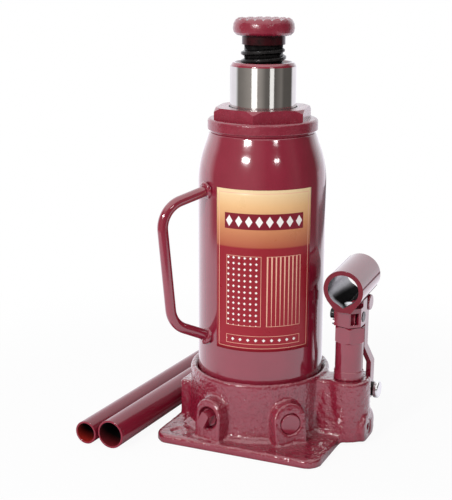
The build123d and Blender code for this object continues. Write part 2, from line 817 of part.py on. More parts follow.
PIECES = {
    "base_casting": base_casting,
    "reservoir_tank": reservoir_tank,
    "filler_plug": filler_plug,
    "tank_base_seal": tank_base_seal,
    "pressure_cylinder": pressure_cylinder,
    "cylinder_gasket": cylinder_gasket,
    "top_nut": top_nut,
    "top_nut_gasket": top_nut_gasket,
    "ram_gland_seal": ram_gland_seal,
    "ram_wiper": ram_wiper,
    "carry_handle": carry_handle,
    "carry_handle_welds": carry_handle_welds,
    "tank_label": tank_label,
    "ram": ram,
    "ram_piston": ram_piston,
    "piston_cup_seal": piston_cup_seal,
    "piston_retainer": piston_retainer,
    "screw_stop_ring": screw_stop_ring,
    "extension_screw": extension_screw,
    "saddle": saddle,
    "pump_cylinder": pump_cylinder,
    "pump_flange_washer": pump_flange_washer,
    "pump_seat_washer": pump_seat_washer,
    "plunger_packing": plunger_packing,
    "plunger_gland": plunger_gland,
    "pump_plunger": pump_plunger,
    "inlet_ball": inlet_ball,
    "outlet_ball": outlet_ball,
    "outlet_cage": outlet_cage,
    "side_plug": side_plug,
    "release_spindle": release_spindle,
    "release_o_ring": release_o_ring,
    "release_ball": lambda: valve_ball(release_angle, release_z),
    "relief_ball": lambda: valve_ball(relief_angle, relief_z),
    "relief_disc_springs": relief_disc_springs,
    "relief_screw": relief_screw,
    "relief_plug": relief_plug,
    "link_bar_left": lambda: link_bar(-1),
    "link_bar_right": lambda: link_bar(1),
    "link_bolt": link_bolt_piece,
    "link_bolt_washer": link_bolt_washer,
    "link_bolt_nut": link_bolt_nut,
    "handle_socket": handle_socket,
    "socket_rivet": socket_rivet,
    "plunger_pin": plunger_pin_piece,
    "plunger_split_pin": lambda: split_pin(plunger_pin, cheek_outer),
    "lever_pin": lever_pin_piece,
    "lever_split_pin": lambda: split_pin(lever_pin, link_upper_outer),
    "handle_tube_outer": handle_tube_outer,
    "handle_tube_inner": handle_tube_inner,
}


def solids_of(piece):
    shapes = piece if isinstance(piece, list) else [piece]
    return [solid for shape in shapes for solid in shape.solids()]


def main():
    os.makedirs("parts", exist_ok=True)
    for name, make in PIECES.items():
        solids = solids_of(make())
        whole = solids[0] if len(solids) == 1 else Compound(children=solids)
        export_step(whole, "parts/" + name + ".step")
        print(name, len(solids), round(sum(solid.volume for solid in solids)))


main()
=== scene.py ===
# %% [markdown]
# # A hydraulic bottle jack and its two handle tubes
# The solids come from CAD and already stand where they belong, in metres. This lesson gives them
# their looks: thick burgundy enamel over cast iron and sheet steel, a ground ram, an oily thread
# and a printed band. Solids with the right shape keep it and only get a finish. Pieces whose real
# surface is softer or finer than the solid are modelled again with bmesh and stand for it.

# %% Load the solids
import json
import math
import bmesh
import bpy
from mathutils import Matrix, Vector, noise

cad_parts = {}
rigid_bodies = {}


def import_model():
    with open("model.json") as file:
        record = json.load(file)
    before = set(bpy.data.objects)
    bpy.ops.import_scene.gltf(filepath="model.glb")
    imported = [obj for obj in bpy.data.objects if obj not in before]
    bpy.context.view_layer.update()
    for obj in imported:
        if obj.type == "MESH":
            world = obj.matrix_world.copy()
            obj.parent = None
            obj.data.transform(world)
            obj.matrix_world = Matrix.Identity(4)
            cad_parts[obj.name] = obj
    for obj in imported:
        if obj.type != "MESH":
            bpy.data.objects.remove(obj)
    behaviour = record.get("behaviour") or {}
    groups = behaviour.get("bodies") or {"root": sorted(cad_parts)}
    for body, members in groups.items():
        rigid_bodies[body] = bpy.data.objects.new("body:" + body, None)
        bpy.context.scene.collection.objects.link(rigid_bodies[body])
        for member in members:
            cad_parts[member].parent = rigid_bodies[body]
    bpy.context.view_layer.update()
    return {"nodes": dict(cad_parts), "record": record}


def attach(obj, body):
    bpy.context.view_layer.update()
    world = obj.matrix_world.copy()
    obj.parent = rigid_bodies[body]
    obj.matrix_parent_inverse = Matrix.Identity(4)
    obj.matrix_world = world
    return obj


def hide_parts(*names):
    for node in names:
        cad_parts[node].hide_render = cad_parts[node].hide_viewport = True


for leftover in list(bpy.data.objects):
    bpy.data.objects.remove(leftover)
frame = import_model()
nodes = frame["nodes"]
record = frame["record"]
slot_of = {part["node"]: part["material_slot"] for part in record["subparts"]}
body_of = {node: body for body, held in record["behaviour"]["bodies"].items() for node in held}
MM = 0.001

# %% [markdown]
# ## Camera
# The camera stands where the photograph was taken from, found by fitting the round outlines of
# the ram, nut, tank and saddle. Its own right, up and back directions make the rotation matrix.
# The sensor's 36 mm lie along the picture's long side, so the lens length follows from the
# fitted focal length in pixels.

# %% Camera
PICTURE_HEIGHT = 500
FOCAL_PIXELS = 1144.9
CAMERA_PLACE = Vector((0.3237, -0.8063, 0.3623))
camera_data = bpy.data.cameras.new("camera")
camera_data.sensor_width = 36.0
camera_data.lens = camera_data.sensor_width * FOCAL_PIXELS / PICTURE_HEIGHT
camera_data.clip_start = 0.01
camera = bpy.data.objects.new("camera", camera_data)
camera_right = Vector((0.9153, 0.4027, 0.0034))
camera_up = Vector((-0.1012, 0.2218, 0.9698))
camera_back = camera_right.cross(camera_up)
turn = Matrix((camera_right, camera_up, camera_back)).transposed().to_4x4()
camera.matrix_world = Matrix.Translation(CAMERA_PLACE) @ turn
bpy.context.scene.collection.objects.link(camera)
bpy.context.scene.camera = camera
bpy.context.scene.view_settings.view_transform = "Standard"
print("camera lens", round(camera_data.lens, 2))

# %% [markdown]
# ## Node helpers
# A material is a tree of nodes. Two short helpers keep that readable: one adds a node and sets
# or links its inputs in the same line, and one starts a reusable group with named sockets.

# %% Node helpers
def add_node(tree, kind, inputs=None, **settings):
    made = tree.nodes.new(kind)
    for key, value in settings.items():
        setattr(made, key, value)
    for key, value in (inputs or {}).items():
        if isinstance(value, bpy.types.NodeSocket):
            tree.links.new(value, made.inputs[key])
        else:
            made.inputs[key].default_value = value
    return made


def math_node(tree, operation, *values):
    return add_node(tree, "ShaderNodeMath", dict(enumerate(values)), operation=operation).outputs[0]


def vector_node(tree, operation, *values):
    made = add_node(tree, "ShaderNodeVectorMath", dict(enumerate(values)), operation=operation)
    return made.outputs[0]


def new_group(name, inputs, outputs):
    group = bpy.data.node_groups.new(name, "ShaderNodeTree")
    for label, kind, start in inputs:
        socket = group.interface.new_socket(label, in_out="INPUT", socket_type=kind)
        socket.default_value = start
    for label in outputs:
        group.interface.new_socket(label, in_out="OUTPUT", socket_type="NodeSocketFloat")
    return group, add_node(group, "NodeGroupInput"), add_node(group, "NodeGroupOutput")


def use_group(tree, group, inputs):
    return add_node(tree, "ShaderNodeGroup", inputs, node_tree=group).outputs


NUMBER = "NodeSocketFloat"
PLACE = "NodeSocketVector"
print("node helpers ready")

# %% [markdown]
# ## Shared surface effects
# Paint, cast iron and steel share a few effects, each built once as a group. Mottle is a slow
# change of tone. Peel is the fine orange-peel ripple of sprayed enamel. Lumps is the skin of a
# sand casting, made of rounded pits and bumps of several sizes. Grind is a set of fine lines
# round an upright axis, as a lathe or grinder leaves them.

# %% Shared surface effects
def noise_of(tree, place, size, detail):
    scale = math_node(tree, "DIVIDE", 1.0, size)
    inputs = {"Vector": place, "Scale": scale, "Detail": detail, "Roughness": 0.55}
    return add_node(tree, "ShaderNodeTexNoise", inputs).outputs["Fac"]


def object_place(tree):
    return add_node(tree, "ShaderNodeTexCoord").outputs["Object"]


mottle, start, end = new_group("mottle", [("Size", NUMBER, 0.02)], ["Mask"])
cloud = noise_of(mottle, object_place(mottle), start.outputs["Size"], 4.0)
spread = add_node(mottle, "ShaderNodeMapRange", {"Value": cloud, "From Min": 0.3, "From Max": 0.7})
mottle.links.new(spread.outputs["Result"], end.inputs["Mask"])

peel, start, end = new_group("peel", [("Size", NUMBER, 0.0016)], ["Height"])
ripple = noise_of(peel, object_place(peel), start.outputs["Size"], 1.0)
peel.links.new(ripple, end.inputs["Height"])

lumps, start, end = new_group("lumps", [("Size", NUMBER, 0.003)], ["Height"])
place = object_place(lumps)
coarse = noise_of(lumps, place, start.outputs["Size"], 1.0)
fine_size = math_node(lumps, "MULTIPLY", start.outputs["Size"], 0.45)
fine = noise_of(lumps, place, fine_size, 0.0)
cell_scale = math_node(lumps, "DIVIDE", 0.7, start.outputs["Size"])
cells = add_node(lumps, "ShaderNodeTexVoronoi", {"Vector": place, "Scale": cell_scale},
                 feature="SMOOTH_F1")
both = math_node(lumps, "MULTIPLY_ADD", fine, 0.35, coarse)
height = math_node(lumps, "MULTIPLY_ADD", cells.outputs["Distance"], 0.5, both)
lumps.links.new(height, end.inputs["Height"])

grind, start, end = new_group("grind", [("Line", NUMBER, 0.0004)], ["Height"])
flat = vector_node(grind, "MULTIPLY", object_place(grind), (0.02, 0.02, 1.0))
lines = noise_of(grind, flat, start.outputs["Line"], 2.0)
grind.links.new(lines, end.inputs["Height"])
print("groups:", [group.name for group in bpy.data.node_groups])

# %% [markdown]
# ## Finishes
# Each finish is a Principled shader. Its constants sit on the shader's own sockets, and only
# what changes over the surface is linked: colour, roughness and a bump. The enamel is a deep
# burgundy with a clear, glossy top, so most of what is seen on it is the white room around it.

# %% Finishes
def finish(name, colours, roughness, mask_size, bump, **constants):
    made = bpy.data.materials.new(name)
    made.use_nodes = True
    tree = made.node_tree
    shader = tree.nodes["Principled BSDF"]
    for socket, value in constants.items():
        shader.inputs[socket.replace("_", " ")].default_value = value
    mask = use_group(tree, mottle, {"Size": mask_size})["Mask"]
    tone = add_node(tree, "ShaderNodeMix", {"Factor": mask}, data_type="RGBA")
    tone.inputs["A"].default_value = (*colours[0], 1.0)
    tone.inputs["B"].default_value = (*colours[1], 1.0)
    tree.links.new(tone.outputs["Result"], shader.inputs["Base Color"])
    gloss = add_node(tree, "ShaderNodeMapRange", {
        "Value": mask, "To Min": roughness[0], "To Max": roughness[1]})
    tree.links.new(gloss.outputs["Result"], shader.inputs["Roughness"])
    normal = None
    for group, socket, size, depth in bump:
        inputs = {"Height": use_group(tree, group, {socket: size})["Height"], "Distance": depth}
        if normal:
            inputs["Normal"] = normal
        normal = add_node(tree, "ShaderNodeBump", inputs).outputs["Normal"]
    tree.links.new(normal, shader.inputs["Normal"])
    return made


burgundy = ((0.215, 0.0095, 0.027), (0.25, 0.0125, 0.034))
peel_bump = (peel, "Size", 0.0022, 0.00002)
enamel = finish("enamel", burgundy, (0.1, 0.15), 0.03, [peel_bump],
                IOR=1.6, Coat_Weight=0.9, Coat_Roughness=0.06)
tube_enamel = finish("tube_enamel", burgundy, (0.1, 0.16), 0.03, [peel_bump],
                     IOR=1.42, Coat_Weight=0.15, Coat_Roughness=0.05)
cast_enamel = finish("cast_enamel", burgundy, (0.06, 0.15), 0.012,
                     [(lumps, "Size", 0.003, 0.00085), (lumps, "Size", 0.0014, 0.00022)],
                     IOR=1.6, Coat_Weight=0.9, Coat_Roughness=0.03)
forged_enamel = finish("forged_enamel", burgundy, (0.2, 0.34), 0.008,
                       [(lumps, "Size", 0.0022, 0.00025)], IOR=1.55, Coat_Weight=0.5, Coat_Roughness=0.14)
ground_steel = finish("polished_steel", ((0.60, 0.59, 0.575), (0.65, 0.64, 0.62)), (0.04, 0.07), 0.01,
                      [(grind, "Line", 0.0004, 0.00002)], Metallic=1.0)
machined_steel = finish("machined_steel", ((0.42, 0.42, 0.42), (0.52, 0.52, 0.51)), (0.25, 0.4), 0.01,
                        [(grind, "Line", 0.0006, 0.00002)], Metallic=1.0)
black_steel = finish("black_steel", ((0.01, 0.009, 0.009), (0.024, 0.022, 0.022)), (0.16, 0.34), 0.004,
                     [(lumps, "Size", 0.0016, 0.0001)], Metallic=0.4)
zinc_steel = finish("zinc_steel", ((0.66, 0.67, 0.68), (0.8, 0.8, 0.8)), (0.18, 0.32), 0.004,
                    [(peel, "Size", 0.001, 0.00002)], Metallic=1.0)
copper = finish("copper", ((0.5, 0.2, 0.1), (0.62, 0.28, 0.15)), (0.25, 0.4), 0.004,
                [(peel, "Size", 0.001, 0.00003)], Metallic=1.0)
black_rubber = finish("black_rubber", ((0.012, 0.012, 0.012), (0.02, 0.02, 0.02)), (0.55, 0.7), 0.004,
                      [(peel, "Size", 0.0008, 0.00003)])
print("finishes:", len(bpy.data.materials))

# %% [markdown]
# ## The printed band
# The tank carries a printed film: gold at the top that turns into red, inside a thin light frame.
# It holds an ornament: a strip of lozenges on the gold, and on the red an upright panel of small
# lozenges beside one of tapering stripes, with a row of dots below. It is drawn by measuring
# distances in millimetres from the film's UV map.

# %% Drawing groups for the print
band, start, end = new_group("ruled_box", [
    ("Point", PLACE, (0, 0, 0)), ("Centre", PLACE, (0, 0, 0)), ("Half", PLACE, (10, 10, 0)),
    ("Line", NUMBER, 0.3)], ["Line", "Inside"])
away = vector_node(band, "SUBTRACT", start.outputs["Point"], start.outputs["Centre"])
away = vector_node(band, "SUBTRACT", vector_node(band, "ABSOLUTE", away), start.outputs["Half"])
parts = add_node(band, "ShaderNodeSeparateXYZ", {"Vector": away})
distance = math_node(band, "MAXIMUM", parts.outputs["X"], parts.outputs["Y"])
band.links.new(math_node(band, "COMPARE", distance, 0.0, start.outputs["Line"]), end.inputs["Line"])
band.links.new(math_node(band, "LESS_THAN", distance, 0.0), end.inputs["Inside"])

lozenges, start, end = new_group("lozenges", [
    ("Point", PLACE, (0, 0, 0)), ("Pitch", PLACE, (9, 9, 1)), ("Reach", NUMBER, 0.5)], ["Mask"])
cell = vector_node(lozenges, "DIVIDE", start.outputs["Point"], start.outputs["Pitch"])
cell = vector_node(lozenges, "SUBTRACT", vector_node(lozenges, "FRACTION", cell), (0.5, 0.5, 0.0))
parts = add_node(lozenges, "ShaderNodeSeparateXYZ", {"Vector": vector_node(lozenges, "ABSOLUTE", cell)})
near = math_node(lozenges, "ADD", parts.outputs["X"], parts.outputs["Y"])
lozenges.links.new(math_node(lozenges, "LESS_THAN", near, start.outputs["Reach"]), end.inputs["Mask"])
print("print groups ready")

# %% The print
LABEL_WIDE = 77.3
LABEL_TALL = 124.0
LABEL_MARGIN = 2.6
print_film = bpy.data.materials.new("label_film")
print_film.use_nodes = True
tree = print_film.node_tree
shader = tree.nodes["Principled BSDF"]
shader.inputs["Specular IOR Level"].default_value = 0.3
sheet_uv = add_node(tree, "ShaderNodeUVMap", uv_map="sheet").outputs["UV"]
point = vector_node(tree, "MULTIPLY", sheet_uv, (LABEL_WIDE, LABEL_TALL, 1.0))
height = add_node(tree, "ShaderNodeSeparateXYZ", {"Vector": sheet_uv}).outputs["Y"]
ground = add_node(tree, "ShaderNodeValToRGB", {"Fac": height})
ramp = ground.color_ramp
stops = [(0.0, (0.30, 0.011, 0.023)), (0.645, (0.29, 0.013, 0.023)), (0.655, (0.42, 0.10, 0.05)),
         (0.78, (0.60, 0.25, 0.11)), (0.9, (0.78, 0.47, 0.22)), (1.0, (0.84, 0.64, 0.37))]
ramp.elements[0].color = (*stops[0][1], 1)
ramp.elements[1].color = (*stops[-1][1], 1)
for where, colour in stops[1:-1]:
    ramp.elements.new(where).color = (*colour, 1)


def boxed(centre, half, line):
    inputs = {"Point": point, "Centre": (*centre, 0), "Half": (*half, 0), "Line": line}
    return use_group(tree, band, inputs)


def ink(under, mask, colour):
    over = add_node(tree, "ShaderNodeMix", {"Factor": mask}, data_type="RGBA")
    tree.links.new(under, over.inputs["A"])
    over.inputs["B"].default_value = (*colour, 1)
    return over.outputs["Result"]


PALE = (0.80, 0.42, 0.30)
WHITE = (0.86, 0.82, 0.78)
WINE = (0.20, 0.008, 0.02)
middle = LABEL_WIDE / 2
lattice = use_group(tree, lozenges, {"Point": point, "Pitch": (4.4, 4.4, 1), "Reach": 0.24})["Mask"]
dots = use_group(tree, lozenges, {"Point": point, "Pitch": (6.0, 6.0, 1), "Reach": 0.22})["Mask"]
stripes = use_group(tree, lozenges, {"Point": point, "Pitch": (3.3, 400.0, 1), "Reach": 0.5})["Mask"]
row = use_group(tree, lozenges, {"Point": point, "Pitch": (7.73, 11.8, 1), "Reach": 0.36})["Mask"]
strip = boxed((middle, 100.3), (30.9, 6.0), 0.1)["Inside"]
colour = ink(ground.outputs["Color"], strip, WINE)
colour = ink(colour, math_node(tree, "MULTIPLY", row, strip), WHITE)
for across, low, half, pattern, tint in ((-15.6, 47.0, (13.4, 27.0), lattice, WHITE),
                                         (15.6, 47.0, (13.4, 27.0), stripes, PALE),
                                         (0.0, 9.0, (29.0, 3.2), dots, WHITE)):
    panel = boxed((middle + across, low), half, 0.16)
    colour = ink(colour, math_node(tree, "MULTIPLY", pattern, panel["Inside"]), tint)
    colour = ink(colour, panel["Line"], PALE)
half_frame = (middle - LABEL_MARGIN, LABEL_TALL / 2 - LABEL_MARGIN)
colour = ink(colour, boxed((middle, LABEL_TALL / 2), half_frame, 0.22)["Line"], PALE)
tree.links.new(colour, shader.inputs["Base Color"])
scuff = use_group(tree, mottle, {"Size": 0.012})["Mask"]
gloss = add_node(tree, "ShaderNodeMapRange", {"Value": scuff, "To Min": 0.26, "To Max": 0.4})
tree.links.new(gloss.outputs["Result"], shader.inputs["Roughness"])
print("print film ready")

# %% [markdown]
# ## Finishes on the solids
# Every solid takes the finish of its material slot. Pieces that are modelled again below will
# hide theirs, and the rest keep their exact CAD shape under the new finish.

# %% Finishes on the solids
finish_of = {
    "cast_enamel": cast_enamel, "enamel": enamel, "polished_steel": ground_steel,
    "machined_steel": machined_steel, "black_steel": black_steel, "zinc_steel": zinc_steel,
    "copper": copper, "black_rubber": black_rubber, "label_film": print_film,
}
for node, solid in nodes.items():
    solid.material_slots[0].material = finish_of[slot_of[node]]
print("painted", len(nodes), "solids")

# %% [markdown]
# ## Making and placing a piece
# A finished piece keeps its object at the origin, with its place in the mesh. The helper below
# turns a bmesh into such an object, makes it ride on a body of the CAD model and hides the
# solid it stands for.

# %% Making and placing a piece
MERGE_WITHIN = 1e-6


def settle(shape, name, node, finishes, smooth=True):
    mesh = bpy.data.meshes.new(name)
    shape.to_mesh(mesh)
    shape.free()
    for each in finishes:
        mesh.materials.append(each)
    if smooth:
        mesh.shade_smooth()
    piece = bpy.data.objects.new(name, mesh)
    bpy.context.scene.collection.objects.link(piece)
    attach(piece, body_of[node])
    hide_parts(node)
    print(name, len(mesh.polygons), "faces")
    return piece


def copy_of(node):
    shape = bmesh.new()
    shape.from_mesh(nodes[node].data)
    bmesh.ops.remove_doubles(shape, verts=shape.verts, dist=MERGE_WITHIN)
    return shape


# %% [markdown]
# ## Softened steel pieces
# Thick enamel rounds every edge, and a CAD edge is perfectly sharp, which looks like plastic
# foil. A copy of the solid is merged, its flat triangles are dissolved into whole faces, and
# every sharp edge gets a small round bevel. Weighted normals keep the large faces flat.

# %% Softened steel pieces
SHARP = math.radians(32)
FLAT_WITHIN = math.radians(0.6)


def softened(node, width, others=(), outer=None):
    shape = copy_of(node)
    bmesh.ops.dissolve_limit(shape, angle_limit=FLAT_WITHIN, verts=shape.verts, edges=shape.edges)
    sharp = [edge for edge in shape.edges if edge.is_manifold and edge.calc_face_angle() > SHARP]
    bmesh.ops.bevel(shape, geom=sharp, offset=width, segments=2, profile=0.5, affect="EDGES",
                    clamp_overlap=True, material=-1)
    finishes = [outer or finish_of[slot_of[node]]]
    for takes, other_finish in others:
        finishes.append(other_finish)
        for face in shape.faces:
            if takes(face):
                face.material_index = len(finishes) - 1
    piece = settle(shape, node + "_soft", node, finishes)
    even = piece.modifiers.new("even_normals", "WEIGHTED_NORMAL")
    even.weight = 80
    return piece


softened("top_nut", 0.5 * MM, outer=forged_enamel)
for node, width in {
        "pump_cylinder": 0.5, "link_bar_left": 0.8, "link_bar_right": 0.8,
        "pump_plunger": 0.6, "side_plug": 0.3, "relief_plug": 0.4, "release_spindle": 0.7,
        "link_bolt": 0.4, "socket_rivet": 0.3, "link_bolt_nut": 0.4, "link_bolt_washer": 0.3,
        "lever_pin": 0.4, "plunger_pin": 0.4, "pump_flange_washer": 0.3, "filler_plug": 0.4}.items():
    softened(node, width * MM)

# %% [markdown]
# ## Socket, tubes and ram
# These have more than one finish, chosen face by face on the softened copy. The socket is painted
# outside, its rim face is darker and duller, and its bore is bare steel with painted shade, near black
# low down and well in. The tubes hold a mist of red paint just inside their mouths, kept to the lower
# wall as painted light, and painted shade makes them near black further in. The saddle's neck is near
# black as painted shade under its head, and the ram is ground steel with an enamelled bevel round its top.

# %% Tube bore finishes
TUBE_MOUTH_Y = -0.095
LIT_MIST_FROM = TUBE_MOUTH_Y + 0.006
LIT_MIST_TO = TUBE_MOUTH_Y + 0.02


def bore_finish(name, lit_mist_tone):
    paint = finish(name, ((0.05, 0.006, 0.006), (0.09, 0.01, 0.01)), (0.4, 0.6), 0.008,
                   [(lumps, "Size", 0.0016, 0.00006)])
    tree = paint.node_tree
    # Painted shade and painted light: near black further in and higher up, while the red paint mist stays
    # on the lower wall near the mouth, where light reaches.
    spot = add_node(tree, "ShaderNodeSeparateXYZ", {"Vector": object_place(tree)}).outputs
    deep = math_node(tree, "ADD", spot["Y"], spot["Z"])
    lit_mist = add_node(tree, "ShaderNodeMapRange", {
        "Value": deep, "From Min": LIT_MIST_FROM, "From Max": LIT_MIST_TO, "To Min": 1.0, "To Max": 0.0})
    tone = add_node(tree, "ShaderNodeMix", {"Factor": lit_mist.outputs["Result"]}, data_type="RGBA")
    tone.inputs["A"].default_value = (0.003, 0.002, 0.002, 1.0)
    tone.inputs["B"].default_value = (*lit_mist_tone, 1.0)
    tree.links.new(tone.outputs["Result"], tree.nodes["Principled BSDF"].inputs["Base Color"])
    return paint


outer_bore = bore_finish("outer_tube_bore", (0.17, 0.009, 0.014))
inner_bore = bore_finish("inner_tube_bore", (0.38, 0.018, 0.012))
print("tube bore finishes ready")

# %% Faces of a bore
def faces_axis(origin, along, within):
    origin = Vector(origin)
    along = Vector(along).normalized()

    def inside(face):
        spoke = face.calc_center_median() - origin
        spoke -= along * spoke.dot(along)
        level = abs(face.normal.dot(along)) < 0.5
        return level and spoke.length < within and face.normal.dot(spoke) < 0
    return inside


print("bore picker ready")

# %% Socket finishes
SOCKET_MOUTH = (0.074, -0.020, 0.125)
SHADE_EDGE_Z = (0.1215, 0.1165)
SHADE_EDGE_Y = (-0.018, -0.013)
SHADE_ROUGHNESS = 0.95
socket_bore = finish("socket_bore", ((0.34, 0.33, 0.34), (0.48, 0.47, 0.49)), (0.25, 0.45), 0.006,
                     [(lumps, "Size", 0.002, 0.00008)], Metallic=0.9)
tree = socket_bore.node_tree
shader = tree.nodes["Principled BSDF"]
steel_tone = shader.inputs["Base Color"].links[0].from_socket
# Painted shade: low down and well in, the bore's steel turns near black and matt.
spot = add_node(tree, "ShaderNodeSeparateXYZ", {"Vector": object_place(tree)}).outputs
low_down = add_node(tree, "ShaderNodeMapRange", {
    "Value": spot["Z"], "From Min": SHADE_EDGE_Z[0], "From Max": SHADE_EDGE_Z[1]})
well_in = add_node(tree, "ShaderNodeMapRange", {
    "Value": spot["Y"], "From Min": SHADE_EDGE_Y[0], "From Max": SHADE_EDGE_Y[1]})
painted_shade = math_node(tree, "MULTIPLY", low_down.outputs["Result"], well_in.outputs["Result"])
PAINTED_SHADE_TONE = (0.006, 0.005, 0.005, 1)
tone = add_node(tree, "ShaderNodeMix", {"Factor": painted_shade, "B": PAINTED_SHADE_TONE}, data_type="RGBA")
tree.links.new(steel_tone, tone.inputs["A"])
tree.links.new(tone.outputs["Result"], shader.inputs["Base Color"])
steel_gloss = shader.inputs["Roughness"].links[0].from_socket
shade_gloss = math_node(tree, "MULTIPLY", painted_shade, SHADE_ROUGHNESS)
tree.links.new(math_node(tree, "MAXIMUM", steel_gloss, shade_gloss), shader.inputs["Roughness"])
# The rim face is darker and duller than the rest of the socket.
dark_rim_enamel = finish("dark_rim_enamel", ((0.15, 0.010, 0.020), (0.19, 0.012, 0.025)), (0.3, 0.5), 0.004,
                     [(lumps, "Size", 0.0012, 0.00006)], IOR=1.36)
print("socket finishes ready")

# %% Socket, tubes and ram
SOCKET_TILT = math.radians(4.1)
SOCKET_RIM_Y = -0.018
socket_line = Vector((0, math.cos(SOCKET_TILT), math.sin(SOCKET_TILT)))


def on_rim(face):
    return face.normal.dot(socket_line) < -0.95 and face.calc_center_median().y < SOCKET_RIM_Y


softened("handle_socket", 0.6 * MM,
         [(faces_axis(SOCKET_MOUTH, socket_line, 0.0142), socket_bore), (on_rim, dark_rim_enamel)])
TUBE_YAW = math.radians(3.3)
tube_line = (math.sin(TUBE_YAW), math.cos(TUBE_YAW), 0)
for node, width, across, high, within, bore in (
        ("handle_tube_outer", 0.5, -0.085, 0.0112, 0.0101, outer_bore),
        ("handle_tube_inner", 0.45, -0.1065, 0.0091, 0.0081, inner_bore)):
    picker = faces_axis((across, TUBE_MOUTH_Y, high), tube_line, within)
    softened(node, width * MM, [(picker, bore)], outer=tube_enamel)
# Painted shade: the saddle's neck is glossy near black, for the shade under the saddle's head.
neck_shade_enamel = finish("neck_shade_enamel", ((0.012, 0.002, 0.003), (0.045, 0.003, 0.006)), (0.1, 0.2), 0.006,
                     [peel_bump], IOR=1.35)
NECK_TOP_Z = 0.3105
softened("saddle", 0.35 * MM, [(lambda face: face.calc_center_median().z < NECK_TOP_Z, neck_shade_enamel)],
         outer=forged_enamel)
RAM_BEVEL_Z = 0.2865
ram_piece = softened("ram", 0.4 * MM, [(lambda face: face.calc_center_median().z > RAM_BEVEL_Z, enamel)])

# %% [markdown]
# ## The casting
# Sand-cast iron has no sharp edge and no flat face. A copy of the solid is remeshed into small
# even quads, its corners are relaxed by smoothing, and each point is moved a little along its
# normal by a slow noise, which gives the lumps of the mould. The underside stays flat.

# %% The casting
VOXEL = 0.95 * MM
RELAX_ROUNDS = 6
LUMP_SIZE = 4.5 * MM
LUMP_DEPTH = 0.25 * MM
MOST_SWELL = 0.3
FLAT_BELOW = 1.2 * MM
shape = copy_of("base_casting")
rough_mesh = bpy.data.meshes.new("casting_rough")
shape.to_mesh(rough_mesh)
shape.free()
rough = bpy.data.objects.new("casting_rough", rough_mesh)
bpy.context.scene.collection.objects.link(rough)
remesh = rough.modifiers.new("even_quads", "REMESH")
remesh.mode = "VOXEL"
remesh.voxel_size = VOXEL
view = bpy.context.evaluated_depsgraph_get()
even_mesh = bpy.data.meshes.new_from_object(rough.evaluated_get(view))
bpy.data.objects.remove(rough)
shape = bmesh.new()
shape.from_mesh(even_mesh)
for _ in range(RELAX_ROUNDS):
    bmesh.ops.smooth_vert(shape, verts=shape.verts, factor=0.5,
                          use_axis_x=True, use_axis_y=True, use_axis_z=True)
shape.normal_update()
for vert in shape.verts:
    if vert.co.z < FLAT_BELOW:
        vert.co.z = max(vert.co.z, 0.0)
        continue
    swell = noise.noise(vert.co / LUMP_SIZE) + 0.5 * noise.noise(vert.co / LUMP_SIZE * 2.3)
    vert.co += vert.normal * LUMP_DEPTH * min(swell, MOST_SWELL)
settle(shape, "base_casting_cast", "base_casting", [cast_enamel])

# %% [markdown]
# ## Screw thread
# The solid has plain rings in place of a thread. Here one ridge profile is spun round the axis
# and lifted by the pitch on each turn, so it climbs like a real right-hand thread. A plain core
# with the same root stands inside it.

# %% Screw thread
SCREW_ROOT = 14.6 * MM
SCREW_CREST = 17.0 * MM
SCREW_PITCH = 6.0 * MM
SCREW_LOW = 194.0 * MM
THREAD_LOW = 203.0 * MM
SCREW_HIGH = 303.0 * MM
TURN_STEPS = 48
THREAD_TURNS = 16
shape = bmesh.new()
bmesh.ops.create_cone(shape, cap_ends=True, segments=TURN_STEPS, radius1=SCREW_ROOT,
                      radius2=SCREW_ROOT, depth=SCREW_HIGH - SCREW_LOW,
                      matrix=Matrix.Translation((0, 0, (SCREW_HIGH + SCREW_LOW) / 2)))
under_root = SCREW_ROOT - 0.3 * MM
below_crest = SCREW_CREST - 0.25 * MM
ridge = [(under_root, -2.3 * MM), (below_crest, -1.05 * MM), (SCREW_CREST, -0.75 * MM),
         (SCREW_CREST, 0.75 * MM), (below_crest, 1.05 * MM), (under_root, 2.3 * MM)]
corners = [shape.verts.new((radius, 0, THREAD_LOW + rise)) for radius, rise in ridge]
profile = shape.faces.new(corners)
bmesh.ops.spin(shape, geom=[profile], cent=(0, 0, 0), axis=(0, 0, 1), angle=2 * math.pi * THREAD_TURNS,
               steps=TURN_STEPS * THREAD_TURNS, dvec=(0, 0, SCREW_PITCH / TURN_STEPS))
bmesh.ops.recalc_face_normals(shape, faces=shape.faces)
screw = settle(shape, "extension_screw_thread", "extension_screw", [black_steel])
screw.modifiers.new("even_normals", "WEIGHTED_NORMAL")

# %% [markdown]
# ## Weld beads
# The carry handle is welded to the tank at both ends. A bead starts as a small circle spun round
# the rod, and a noise that repeats along it makes the ripples of a hand weld.

